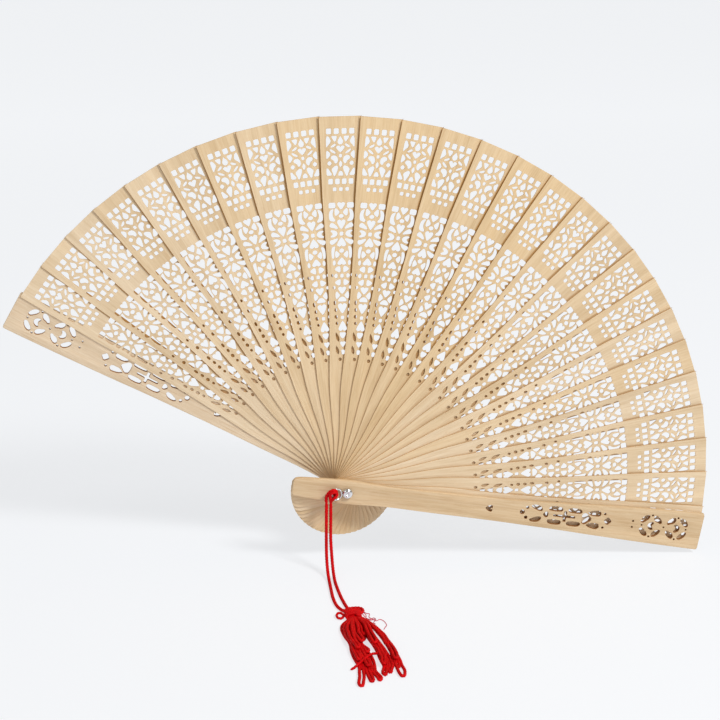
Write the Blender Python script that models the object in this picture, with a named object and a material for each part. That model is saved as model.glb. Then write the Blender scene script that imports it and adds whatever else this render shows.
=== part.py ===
"""Folding brise hand fan: 27 thin wooden sticks and two thicker guards on one
rivet, joined near the top by a glued ribbon, with a metal link and a red cord
tassel at the rivet.

Frame: metres, +Z up, the fan stands open in the XZ plane and its front looks
to -Y. The origin is on the rivet's axis, at the front face of the front guard.
"""
import math

import bmesh
import bpy
from mathutils import Matrix, Vector

for ob in list(bpy.data.objects):
    bpy.data.objects.remove(ob, do_unlink=True)

MM = 0.001

# ---- driving dimensions (mm and degrees) ----
N_STICKS = 27
STICK_TIP = 177.3        # rivet axis to the top edge of a stick
GUARD_TIP = 179.4        # rivet axis to the top edge of a guard
HEAD = 26.0              # rivet axis to the round end below it
STICK_T = 0.50
GUARD_T = 2.20
LAYER_GAP = 0.15         # between neighbouring blades
FRONT_DEG = -9.16        # centreline of the front guard, above +X
REAR_DEG = 149.78        # centreline of the rear guard, fan fully open
FIRST_STICK_DEG = 143.29 # centreline of stick 1, next to the rear guard
PITCH_DEG = 5.866        # one stick to the next
WAVE_DEG = (0.94, 0.80)  # how far the spread strays from even
HOLE_R = 1.00            # rivet hole in every blade
SHANK_R = 0.90

RIVET_HEAD_R = 2.30
RIVET_HEAD_H = 1.25
LINK_Y = -0.60           # mid plane of the link's eye
LINK_T = 0.60
RING_R = 2.65            # link's ring, to the middle of its wire
WIRE_R = 0.45
RING_TILT_DEG = 24.0     # the ring stands off the guard
NECK_X = -2.90

CORD_D = 1.60
FLOOR_Z = -40.0          # what the tassel lies on
RIBBON_IN, RIBBON_OUT = 138.8, 142.8
RIBBON_T = 0.06

# half width of a blade at stations along it, from the head to the tip (mm)
STICK_PROFILE = ((-26.0, 2.6), (-24.9, 4.0), (-22.5, 4.7), (-13.0, 5.2),
                 (0.0, 5.4), (12.0, 5.0), (22.0, 5.0), (31.0, 5.5),
                 (41.0, 6.2), (51.0, 6.6), (62.0, 6.45), (80.0, 6.3),
                 (95.0, 6.45), (108.0, 6.9), (123.0, 7.65), (140.0, 8.6),
                 (160.0, 9.2), (176.6, 9.75), (STICK_TIP, 9.3))
GUARD_PROFILE = ((-26.0, 2.4), (-25.2, 3.8), (-22.5, 4.6), (-13.0, 5.25),
                 (0.0, 5.9), (12.0, 5.35), (24.0, 5.05), (40.0, 5.3),
                 (60.0, 5.5), (75.0, 5.7), (90.0, 6.2), (100.0, 6.5),
                 (110.0, 7.0), (120.0, 7.6), (130.0, 8.1), (150.0, 9.0),
                 (168.0, 9.6), (178.3, 9.75), (GUARD_TIP, 8.9))


# ---- small helpers ----
def material(name, rgb, rough, metal=0.0):
    mat = bpy.data.materials.new(name)
    mat.use_nodes = True
    node = mat.node_tree.nodes["Principled BSDF"]
    node.inputs["Base Color"].default_value = (*rgb, 1.0)
    node.inputs["Roughness"].default_value = rough
    node.inputs["Metallic"].default_value = metal
    return mat


def mesh_object(name, bm, mat, smooth=False):
    bmesh.ops.recalc_face_normals(bm, faces=bm.faces)
    me = bpy.data.meshes.new(name)
    bm.to_mesh(me)
    bm.free()
    if smooth:
        me.shade_smooth()
        me.set_sharp_from_angle(angle=math.radians(40))
    ob = bpy.data.objects.new(name, me)
    bpy.context.scene.collection.objects.link(ob)
    me.materials.append(mat)
    return ob


def stick_angle(k):
    """Centreline of stick k (1 is next to the rear guard), degrees above +X."""
    even = FIRST_STICK_DEG - PITCH_DEG * (k - 1)
    turn = 2 * math.pi * min(1.0, (k - 1) / (N_STICKS - 2))
    return even + WAVE_DEG[0] * math.cos(turn) + WAVE_DEG[1] * math.sin(turn)


def stick_front(k):
    """Y of the front face of stick k, in mm."""
    return GUARD_T + LAYER_GAP + (N_STICKS - k) * (STICK_T + LAYER_GAP)


REAR_FRONT = stick_front(1) + STICK_T + LAYER_GAP
STACK = REAR_FRONT + GUARD_T


def catmull(points, per):
    """A smooth curve through points (tuples of any length), per steps a span."""
    pts = [Vector(p) for p in points]
    ext = [2 * pts[0] - pts[1]] + pts + [2 * pts[-1] - pts[-2]]
    out = []
    for i in range(1, len(ext) - 2):
        p0, p1, p2, p3 = ext[i - 1:i + 3]
        for s in range(per):
            t = s / per
            out.append(0.5 * ((2 * p1) + (p2 - p0) * t
                              + (2 * p0 - 5 * p1 + 4 * p2 - p3) * t * t
                              + (3 * p1 - p0 - 3 * p2 + p3) * t ** 3))
    out.append(pts[-1])
    return out


# ---- blades ----
def blade_bmesh(profile, thick, bevel=0.0):
    """A flat blade along +X with a rivet hole at the origin, from y 0 to thick."""
    bm = bmesh.new()
    side = [Vector((r * MM, 0.0, w * MM)) for r, w in profile]
    outline = side + [Vector((v.x, 0.0, -v.z)) for v in reversed(side)]
    outer = [bm.verts.new(v) for v in outline]
    n = 16
    hole = [bm.verts.new((HOLE_R * MM * math.cos(2 * math.pi * i / n), 0.0,
                          HOLE_R * MM * math.sin(2 * math.pi * i / n)))
            for i in range(n)]
    edges = [bm.edges.new((ring[i], ring[(i + 1) % len(ring)]))
             for ring in (outer, hole) for i in range(len(ring))]
    bmesh.ops.triangle_fill(bm, use_beauty=True, use_dissolve=False, edges=edges)
    flat = list(bm.faces)
    bmesh.ops.recalc_face_normals(bm, faces=flat)
    ext = bmesh.ops.extrude_face_region(bm, geom=flat)
    top = [v for v in ext["geom"] if isinstance(v, bmesh.types.BMVert)]
    bmesh.ops.translate(bm, verts=top, vec=(0.0, thick * MM, 0.0))
    return bm


def place_blade(ob, angle, front):
    ob.location = (0.0, front * MM, 0.0)
    ob.rotation_euler = (0.0, -math.radians(angle), 0.0)


wood = material("stick_wood", (0.74, 0.58, 0.39), 0.62)
guard_wood = material("guard_wood", (0.72, 0.55, 0.36), 0.55)
steel = material("rivet_metal", (0.78, 0.78, 0.80), 0.25, 1.0)
red = material("red_cord", (0.56, 0.004, 0.008), 0.75)
silk = material("ribbon_cloth", (0.85, 0.80, 0.70), 0.7)

stick_mesh = None
for k in range(1, N_STICKS + 1):
    name = "stick_%02d" % k
    if stick_mesh is None:
        ob = mesh_object(name, blade_bmesh(STICK_PROFILE, STICK_T), wood)
        stick_mesh = ob.data
    else:
        ob = bpy.data.objects.new(name, stick_mesh)
        bpy.context.scene.collection.objects.link(ob)
    place_blade(ob, stick_angle(k), stick_front(k))

guard = mesh_object("front_guard", blade_bmesh(GUARD_PROFILE, GUARD_T), guard_wood)
place_blade(guard, FRONT_DEG, 0.0)
guard = mesh_object("rear_guard", blade_bmesh(GUARD_PROFILE, GUARD_T), guard_wood)
place_blade(guard, REAR_DEG, REAR_FRONT)


# ---- rivet: a turned shank with a domed head, and the cap closing it ----
def turned(name, profile, mat, steps=24):
    """A solid of revolution about the Y axis; profile is (radius, y) in mm,
    starting and ending on the axis."""
    bm = bmesh.new()
    rings = []
    for r, y in profile:
        if r == 0.0:
            rings.append([bm.verts.new((0.0, y * MM, 0.0))])
        else:
            rings.append([bm.verts.new((r * MM * math.cos(2 * math.pi * i / steps),
                                        y * MM,
                                        r * MM * math.sin(2 * math.pi * i / steps)))
                          for i in range(steps)])
    for a, b in zip(rings, rings[1:]):
        for i in range(steps):
            j = (i + 1) % steps
            quad = [a[i % len(a)], a[j % len(a)], b[j % len(b)], b[i % len(b)]]
            bm.faces.new(list(dict.fromkeys(quad)))
    return mesh_object(name, bm, mat, smooth=True)


def turned_ring(name, profile, mat, steps=24):
    """A turned ring about the Y axis; profile is a closed (radius, y) loop."""
    bm = bmesh.new()
    rings = [[bm.verts.new((r * MM * math.cos(2 * math.pi * i / steps), y * MM,
                            r * MM * math.sin(2 * math.pi * i / steps)))
              for i in range(steps)] for r, y in profile]
    for a, b in zip(rings, rings[1:] + rings[:1]):
        for i in range(steps):
            j = (i + 1) % steps
            bm.faces.new((a[i], a[j], b[j], b[i]))
    return mesh_object(name, bm, mat, smooth=True)


HEAD_Y = LINK_Y - LINK_T / 2 - 0.20            # underside of the front head
WASHER_Y = STACK + 0.15                        # front face of the rear washer
WASHER_T = 0.40
CAP_Y = WASHER_Y + WASHER_T + 0.15

turned("rivet_pin", ((0.0, HEAD_Y - 0.72 * RIVET_HEAD_H),
                     (0.55, HEAD_Y - 0.80 * RIVET_HEAD_H),
                     (0.95, HEAD_Y - RIVET_HEAD_H),
                     (1.45, HEAD_Y - 0.93 * RIVET_HEAD_H),
                     (1.95, HEAD_Y - 0.62 * RIVET_HEAD_H),
                     (RIVET_HEAD_R, HEAD_Y - 0.16 * RIVET_HEAD_H),
                     (RIVET_HEAD_R - 0.12, HEAD_Y),
                     (SHANK_R, HEAD_Y),
                     (SHANK_R, CAP_Y + 0.55),
                     (0.0, CAP_Y + 0.55)), steel)
turned_ring("rear_washer", ((1.15, WASHER_Y), (3.00, WASHER_Y),
                            (3.00, WASHER_Y + WASHER_T), (1.15, WASHER_Y + WASHER_T)),
            steel)
turned("rivet_cap", ((0.0, CAP_Y + 0.70), (1.05, CAP_Y + 0.70), (1.05, CAP_Y),
                     (2.15, CAP_Y), (RIVET_HEAD_R, CAP_Y + 0.20),
                     (1.95, CAP_Y + 0.75), (1.30, CAP_Y + 1.15),
                     (0.60, CAP_Y + 1.32), (0.0, CAP_Y + 1.36)), steel)


# ---- link: an eye round the rivet, a neck, and a ring for the cord ----
tilt = math.radians(RING_TILT_DEG)
ring_out = Vector((-math.cos(tilt), -math.sin(tilt), 0.0))     # away from the neck
ring_mid = Vector((NECK_X, LINK_Y, 0.0)) + ring_out * RING_R


def ring_point(a):
    """Middle of the ring's wire at angle a from its outermost point."""
    return ring_mid + ring_out * (RING_R * math.cos(a)) + Vector((0, 0, RING_R * math.sin(a)))


def ring_frame(a):
    radial = ring_out * math.cos(a) + Vector((0, 0, math.sin(a)))
    return radial, ring_out.cross(Vector((0, 0, 1))).normalized()


def ring_tube(bm, radius, arcs, around):
    loops = []
    for a in arcs:
        radial, across = ring_frame(a)
        loops.append([bm.verts.new((ring_point(a) + radius * (
            radial * math.cos(2 * math.pi * j / around)
            + across * math.sin(2 * math.pi * j / around))) * MM)
            for j in range(around)])
    return loops


bm = bmesh.new()
loops = ring_tube(bm, WIRE_R, [2 * math.pi * i / 28 for i in range(28)], 8)
for a, b in zip(loops, loops[1:] + loops[:1]):
    for j in range(8):
        bm.faces.new((a[j], a[(j + 1) % 8], b[(j + 1) % 8], b[j]))
link = mesh_object("swivel_link", bm, steel, smooth=True)

eye = turned_ring("eye_guide", ((1.10, LINK_Y - LINK_T / 2), (2.05, LINK_Y - LINK_T / 2),
                                (2.05, LINK_Y + LINK_T / 2), (1.10, LINK_Y + LINK_T / 2)),
                  steel, steps=20)
bm = bmesh.new()
bmesh.ops.create_cube(bm, size=1.0)
bmesh.ops.scale(bm, vec=(1.45 * MM, 0.52 * MM, 1.10 * MM), verts=bm.verts)
bmesh.ops.translate(bm, vec=(-2.42 * MM, LINK_Y * MM, 0.0), verts=bm.verts)
neck = mesh_object("neck_guide", bm, steel)
for tool in (eye, neck):
    tool.hide_render = True
    tool.display_type = "WIRE"
    mod = link.modifiers.new("join", "BOOLEAN")
    mod.operation = "UNION"
    mod.solver = "EXACT"
    mod.object = tool


# ---- the cord's hitch round the ring ----
bm = bmesh.new()
arcs = [math.radians(-40 + 80 * i / 8) for i in range(9)]
outer = ring_tube(bm, 1.90, arcs, 12)
inner = ring_tube(bm, 0.68, arcs, 12)
for loops in (outer, inner):
    for a, b in zip(loops, loops[1:]):
        for j in range(12):
            bm.faces.new((a[j], a[(j + 1) % 12], b[(j + 1) % 12], b[j]))
for end in (0, -1):
    for j in range(12):
        i = (j + 1) % 12
        bm.faces.new((outer[end][j], outer[end][i], inner[end][i], inner[end][j]))
mesh_object("cord_hitch", bm, red, smooth=True)

# ---- two strands of the cord: straight down from the hitch, then along the floor ----
REST_Z = FLOOR_Z + CORD_D / 2
ROUTES = {
    "cord_left": ((-9.2, -3.1, -3.4), (-9.3, -3.2, -12.0), (-9.4, -3.4, -22.0),
                  (-9.6, -4.4, -30.6), (-9.8, -8.0, -36.7), (-10.0, -15.4, REST_Z),
                  (-9.8, -25.0, REST_Z), (-9.0, -33.5, REST_Z), (-7.6, -41.5, REST_Z),
                  (-5.7, -46.9, REST_Z + 0.2)),
    "cord_right": ((-7.3, -3.2, -3.6), (-7.3, -3.3, -12.0), (-7.4, -3.6, -22.0),
                   (-7.4, -4.8, -30.6), (-7.3, -8.6, -36.7), (-7.1, -16.0, REST_Z),
                   (-6.4, -25.0, REST_Z), (-5.4, -33.5, REST_Z), (-4.1, -40.9, REST_Z),
                   (-3.4, -46.5, REST_Z + 0.2)),
}


def cord(name, route):
    pts = catmull(route, 3)
    pts = [Vector((p.x, p.y, max(p.z, REST_Z))) for p in pts]
    cu = bpy.data.curves.new(name, "CURVE")
    cu.dimensions = "3D"
    cu.bevel_depth = CORD_D / 2 * MM
    cu.bevel_resolution = 2
    cu.use_fill_caps = True
    sp = cu.splines.new("POLY")
    sp.points.add(len(pts) - 1)
    for q, p in zip(sp.points, pts):
        q.co = (*(p * MM), 1.0)
    ob = bpy.data.objects.new(name, cu)
    bpy.context.scene.collection.objects.link(ob)
    cu.materials.append(red)
    return ob


for name, route in ROUTES.items():
    cord(name, route)


# ---- tassel: bow, knot and skirt, lying on the floor in front of the fan ----
def pebble(name, centre, radii, mat, segments=20, rings=12):
    bm = bmesh.new()
    bmesh.ops.create_uvsphere(bm, u_segments=segments, v_segments=rings, radius=1.0)
    bmesh.ops.scale(bm, vec=[r * MM for r in radii], verts=bm.verts)
    bmesh.ops.translate(bm, vec=[c * MM for c in centre], verts=bm.verts)
    return mesh_object(name, bm, mat, smooth=True)


pebble("tassel_bow", (-1.3, -44.3, -36.1), (8.2, 2.3, 1.7), red)
pebble("tassel_knot", (-3.4, -51.8, -36.7), (4.4, 4.0, 3.2), red)

# outline of the skirt seen from above: (x, y)
SKIRT = ((-6.1, -56.4), (-8.5, -61.3), (-7.2, -73.9), (-6.9, -90.7), (-8.9, -105.3),
         (-8.4, -114.2), (-2.0, -114.0), (5.8, -112.8), (13.1, -110.7), (16.2, -104.7),
         (13.8, -90.7), (9.2, -75.0), (4.0, -61.3), (0.0, -56.4))
smooth = [Vector((p.x, p.y)) for p in catmull([(x, y, 0.0) for x, y in SKIRT]
                                              + [(SKIRT[0][0], SKIRT[0][1], 0.0)], 2)][:-1]
middle = sum(smooth, Vector((0.0, 0.0))) / len(smooth)
LEVELS = ((0.10, 0.90), (1.2, 1.0), (3.6, 1.0), (5.6, 0.90), (6.4, 0.70))
bm = bmesh.new()
layers = [[bm.verts.new(((middle.x + (p.x - middle.x) * s) * MM,
                         (middle.y + (p.y - middle.y) * s) * MM,
                         (FLOOR_Z + h) * MM)) for p in smooth] for h, s in LEVELS]
for a, b in zip(layers, layers[1:]):
    for i in range(len(a)):
        j = (i + 1) % len(a)
        bm.faces.new((a[i], a[j], b[j], b[i]))
bm.faces.new(list(reversed(layers[0])))
bm.faces.new(layers[-1])
mesh_object("tassel_skirt", bm, red, smooth=True)


# ---- ribbon: glued to the backs of the sticks, it steps over each stick's edge ----
def edge_angle(centre):
    """The lower edge of a stick at the ribbon, degrees."""
    return centre - math.degrees(math.asin(8.75 / RIBBON_IN))


STAND = 0.05                                   # clear of the wood
MARGIN = 0.40                                  # degrees to either side of an edge
path = []                                      # (angle, y of the ribbon's front face)
for k in range(N_STICKS, 0, -1):
    back = stick_front(k) + STICK_T + STAND
    low = edge_angle(stick_angle(k)) + MARGIN
    nxt = stick_angle(k - 1) if k > 1 else REAR_DEG
    high = edge_angle(nxt) - MARGIN
    path += [(low, back), (high, back)]
bm = bmesh.new()
cross = []
for i, (a, y) in enumerate(path):
    # the riser between two sticks stands just before the next stick's edge
    if i and i % 2 == 0:
        a0 = path[i - 1][0] + 0.06
        for (aa, yy) in ((a0, y), (a, y)):
            cross.append((aa, yy))
    else:
        cross.append((a, y))


def ribbon_point(angle, y, radius):
    t = math.radians(angle)
    return Vector((radius * math.cos(t), y, radius * math.sin(t))) * MM


front, rear = [], []
for i, (a, y) in enumerate(cross):
    riser_top = (i % 3 == 2)
    riser_foot = (i % 3 == 1) and i < len(cross) - 1
    shift = 0.05 if riser_foot else 0.05 if riser_top else 0.0
    front.append((a - (0.0 if not riser_top else 0.0), y))
    rear.append((a - (shift if (riser_foot or riser_top) else 0.0), y + RIBBON_T))
rows = []
for (af, yf), (ar, yr) in zip(front, rear):
    rows.append([bm.verts.new(ribbon_point(af, yf, RIBBON_IN)),
                 bm.verts.new(ribbon_point(af, yf, RIBBON_OUT)),
                 bm.verts.new(ribbon_point(ar, yr, RIBBON_OUT)),
                 bm.verts.new(ribbon_point(ar, yr, RIBBON_IN))])
for a, b in zip(rows, rows[1:]):
    for j in range(4):
        bm.faces.new((a[j], a[(j + 1) % 4], b[(j + 1) % 4], b[j]))
bm.faces.new(list(reversed(rows[0])))
bm.faces.new(rows[-1])
mesh_object("back_ribbon", bm, silk)
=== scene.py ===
"""Folding hand fan of pierced wooden sticks on one rivet, with a red cord tassel on a metal link."""

import math
import random

import bmesh
import bpy
from mathutils import Matrix, Vector
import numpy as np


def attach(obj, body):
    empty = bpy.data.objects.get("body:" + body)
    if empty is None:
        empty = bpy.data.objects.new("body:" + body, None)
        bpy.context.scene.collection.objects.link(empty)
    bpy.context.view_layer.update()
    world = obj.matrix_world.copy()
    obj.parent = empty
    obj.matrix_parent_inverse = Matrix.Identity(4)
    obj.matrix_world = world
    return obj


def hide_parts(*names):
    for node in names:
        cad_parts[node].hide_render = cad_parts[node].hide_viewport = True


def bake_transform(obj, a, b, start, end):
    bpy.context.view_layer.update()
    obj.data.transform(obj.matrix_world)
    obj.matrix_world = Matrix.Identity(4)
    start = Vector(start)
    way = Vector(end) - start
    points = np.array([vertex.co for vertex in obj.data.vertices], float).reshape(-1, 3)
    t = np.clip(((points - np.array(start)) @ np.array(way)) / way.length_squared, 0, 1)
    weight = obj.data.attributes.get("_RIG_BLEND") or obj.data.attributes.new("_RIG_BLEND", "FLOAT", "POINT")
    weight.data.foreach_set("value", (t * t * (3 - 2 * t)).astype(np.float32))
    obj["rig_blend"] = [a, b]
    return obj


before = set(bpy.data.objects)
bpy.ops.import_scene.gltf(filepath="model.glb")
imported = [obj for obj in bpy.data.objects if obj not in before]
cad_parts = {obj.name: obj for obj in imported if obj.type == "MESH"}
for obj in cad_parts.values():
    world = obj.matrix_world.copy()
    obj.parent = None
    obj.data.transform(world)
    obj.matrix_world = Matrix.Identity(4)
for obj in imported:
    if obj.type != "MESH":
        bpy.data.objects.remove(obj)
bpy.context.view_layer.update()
MM = 0.001
scene = bpy.context.scene

# ------------------------------------------------------------------ camera
PAN, TILT = math.radians(6.239), math.radians(-16.760)
cam_data = bpy.data.cameras.new("camera")
cam_data.sensor_width = 36.0
cam_data.lens = 36.0 * 1512.98 / 720.0
cam_data.clip_start, cam_data.clip_end = 0.01, 60.0
camera = bpy.data.objects.new("camera", cam_data)
scene.collection.objects.link(camera)
camera.location = (-0.06727, -0.67035, 0.26906)
camera.rotation_euler = (math.radians(90) + TILT, 0.0, -PAN)
scene.camera = camera

# ------------------------------------------------------------------ sizes, as in the CAD (mm, degrees)
N_STICKS = 27
STICK_TIP, GUARD_TIP, HEAD = 177.3, 178.1, 26.8
STICK_T, GUARD_T, LAYER_GAP = 0.50, 2.20, 0.15
FRONT_DEG, REAR_DEG = -9.16, 149.78
STACK = 22.10
REAR_FRONT = 19.90
HOLE_R = 1.00
CORD_R = 0.80
FLOOR_Z = -40.0


def stick_angle(k):
    turn = 2 * math.pi * min(1.0, (k - 1) / (N_STICKS - 2))
    return 143.29 - 5.866 * (k - 1) + 0.94 * math.cos(turn) + 0.80 * math.sin(turn)


def stick_front(k):
    return GUARD_T + LAYER_GAP + (N_STICKS - k) * (STICK_T + LAYER_GAP)


STICK_PROFILE = ((-26.8, 2.2), (-26.2, 3.3), (-25.2, 4.1), (-23.0, 4.75), (-13.0, 5.2),
                 (0.0, 5.4), (12.0, 5.0), (22.0, 5.0), (31.0, 5.5),
                 (41.0, 6.2), (51.0, 6.6), (62.0, 6.45), (80.0, 6.3),
                 (95.0, 6.45), (108.0, 6.9), (123.0, 7.65), (140.0, 8.6),
                 (160.0, 9.2), (176.3, 9.75), (177.0, 9.6), (STICK_TIP, 9.2))
GUARD_UPPER = ((-26.4, 2.6), (-26.1, 3.4), (-25.3, 4.2), (-22.5, 4.75), (-13.0, 5.3),
               (0.0, 5.9), (12.0, 5.3), (24.0, 4.9), (40.0, 5.0),
               (60.0, 5.15), (75.0, 5.4), (90.0, 5.95), (100.0, 6.3),
               (110.0, 6.8), (120.0, 7.4), (130.0, 7.9), (150.0, 8.7),
               (168.0, 9.15), (176.9, 9.25), (177.8, 8.9), (GUARD_TIP, 8.2))
GUARD_LOWER = ((-26.4, 2.6), (-26.1, 3.4), (-25.3, 4.2), (-22.5, 4.65), (-13.0, 5.25),
               (0.0, 5.9), (12.0, 5.45), (24.0, 5.3), (40.0, 5.7),
               (60.0, 6.0), (75.0, 6.3), (90.0, 6.8), (100.0, 7.1),
               (110.0, 7.5), (120.0, 8.0), (130.0, 8.4), (150.0, 9.1),
               (168.0, 9.6), (176.9, 9.75), (177.8, 9.3), (GUARD_TIP, 8.7))


# ------------------------------------------------------------------ plane shapes: lists of (r, t)
def catmull(points, per, closed=False):
    pts = [Vector(p) for p in points]
    n = len(pts)
    out = []
    spans = n if closed else n - 1
    for i in range(spans):
        if closed:
            p0, p1, p2, p3 = pts[i - 1], pts[i], pts[(i + 1) % n], pts[(i + 2) % n]
        else:
            p1, p2 = pts[i], pts[i + 1]
            p0 = pts[i - 1] if i else p1 * 2 - p2
            p3 = pts[i + 2] if i + 2 < n else p2 * 2 - p1
        for s in range(per):
            t = s / per
            out.append(0.5 * ((2 * p1) + (p2 - p0) * t + (2 * p0 - 5 * p1 + 4 * p2 - p3) * t * t
                              + (3 * p1 - p0 - 3 * p2 + p3) * t * t * t))
    if not closed:
        out.append(pts[-1].copy())
    return out


def round_off(pts, cut=0.25, times=1):
    """Cuts every corner off twice over, so that a shape reads as carved."""
    for _ in range(times):
        new = []
        for i, p in enumerate(pts):
            q = pts[(i + 1) % len(pts)]
            new.append((p[0] + (q[0] - p[0]) * cut, p[1] + (q[1] - p[1]) * cut))
            new.append((q[0] + (p[0] - q[0]) * cut, q[1] + (p[1] - q[1]) * cut))
        pts = new
    return pts


def box(r, t, w, h, corner=0.28):
    a, b = h / 2, w / 2
    c = min(corner, a * 0.45, b * 0.45)
    pts = [(a - c, b), (a, b - c), (a, -b + c), (a - c, -b), (-a + c, -b), (-a, -b + c), (-a, b - c), (-a + c, b)]
    return [(r + u, t + v) for u, v in pts]


def oval(r, t, w, h, n=10, turn=0.0):
    c, s = math.cos(turn), math.sin(turn)
    out = []
    for i in range(n):
        u, v = h / 2 * math.cos(2 * math.pi * i / n), w / 2 * math.sin(2 * math.pi * i / n)
        out.append((r + u * c - v * s, t + u * s + v * c))
    return out


def heart(point, lobes, w, t=0.0, notch=0.84):
    """A heart from its point to its lobes along r."""
    half = ((0.0, 0.0), (0.18, 0.34), (0.45, 0.70), (0.68, 0.96), (0.84, 1.0), (0.96, 0.78), (1.0, 0.48), (0.95, 0.18), (notch, 0.0))
    d = lobes - point
    right = [(point + d * u, t + w / 2 * v) for u, v in half]
    left = [(point + d * u, t - w / 2 * v) for u, v in half[1:-1]]
    return right + left[::-1]


def drop(point, end, w, t=0.0, widest=0.72):
    half = ((0.0, 0.0), (widest * 0.35, 0.40), (widest * 0.75, 0.85), (widest, 1.0), ((1 + widest) / 2, 0.86), (0.98, 0.42), (1.0, 0.0))
    d = end - point
    right = [(point + d * u, t + w / 2 * v) for u, v in half]
    left = [(point + d * u, t - w / 2 * v) for u, v in half[1:-1]]
    return right + left[::-1]


def dome(flat, top, w, t=0.0):
    half = ((0.0, 0.0), (0.0, 0.80), (0.12, 1.0), (0.40, 0.94), (0.72, 0.68), (0.94, 0.32), (1.0, 0.0))
    d = top - flat
    right = [(flat + d * u, t + w / 2 * v) for u, v in half]
    left = [(flat + d * u, t - w / 2 * v) for u, v in half[1:-1]]
    return right + left[::-1]


def leaf(a, b, w, widest=0.5):
    """A pointed leaf from a to b."""
    a, b = Vector(a), Vector(b)
    d = b - a
    side = Vector((-d.y, d.x)).normalized() * (w / 2)
    row = ((0.0, 0.0), (widest * 0.45, 0.66), (widest, 1.0), (1 - (1 - widest) * 0.45, 0.66), (1.0, 0.0))
    up = [a + d * u + side * v for u, v in row]
    down = [a + d * u - side * v for u, v in row[1:-1]]
    return [tuple(p) for p in up + down[::-1]]


def both(pts):
    """A shape and its mirror image across the blade's centreline."""
    return [list(pts), [(r, -t) for r, t in reversed(pts)]]


def flip(pts, middle):
    """A shape turned over along the blade, about r = middle."""
    return [(2 * middle - r, t) for r, t in reversed(pts)]


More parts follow.
